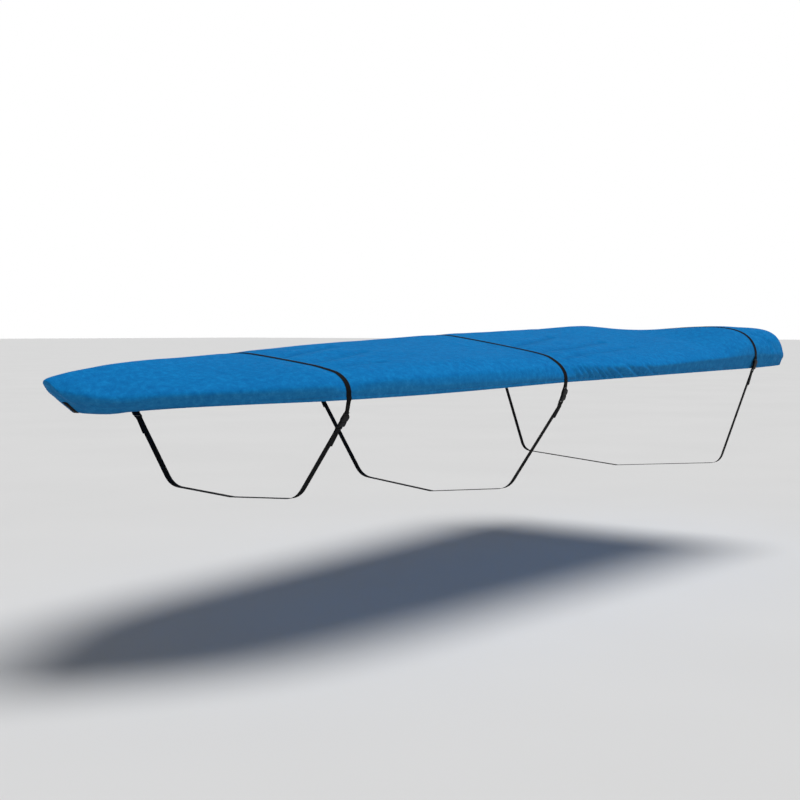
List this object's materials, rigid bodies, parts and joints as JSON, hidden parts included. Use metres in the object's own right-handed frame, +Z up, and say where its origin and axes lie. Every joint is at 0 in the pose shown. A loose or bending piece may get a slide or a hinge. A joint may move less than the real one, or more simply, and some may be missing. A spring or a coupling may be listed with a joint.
{
  "type": "boat cover",
  "caption": "Fitted boat cover: a hollow cloth shell with a pointed bow, a square stern and under-hull webbing straps with side-release buckles.",
  "frame": {"origin": "the point under the middle of the cover's top where the boat holds it up", "axes": "+X to the stern, +Y to starboard, +Z up"},
  "size_m": [4.52, 1.7542, 0.8302],
  "materials": {
    "cover_cloth": "matt woven polyester, bright blue",
    "webbing": "matt black woven webbing",
    "buckle_plastic": "black moulded plastic, satin"
  },
  "bodies": {
    "root": {"cover": "cover_cloth", "bow_tab": "webbing", "strap_top_fore": "webbing", "strap_loop_fore": "webbing", "buckle_socket_fore_port": "buckle_plastic", "buckle_plug_fore_port": "buckle_plastic", "buckle_socket_fore_starboard": "buckle_plastic", "buckle_plug_fore_starboard": "buckle_plastic", "strap_top_middle": "webbing", "strap_loop_middle": "webbing", "buckle_socket_middle_port": "buckle_plastic", "buckle_plug_middle_port": "buckle_plastic", "buckle_socket_middle_starboard": "buckle_plastic", "buckle_plug_middle_starboard": "buckle_plastic", "strap_top_aft": "webbing", "strap_loop_aft": "webbing", "buckle_socket_aft_port": "buckle_plastic", "buckle_plug_aft_port": "buckle_plastic", "buckle_socket_aft_starboard": "buckle_plastic", "buckle_plug_aft_starboard": "buckle_plastic"}
  },
  "joints": []
}
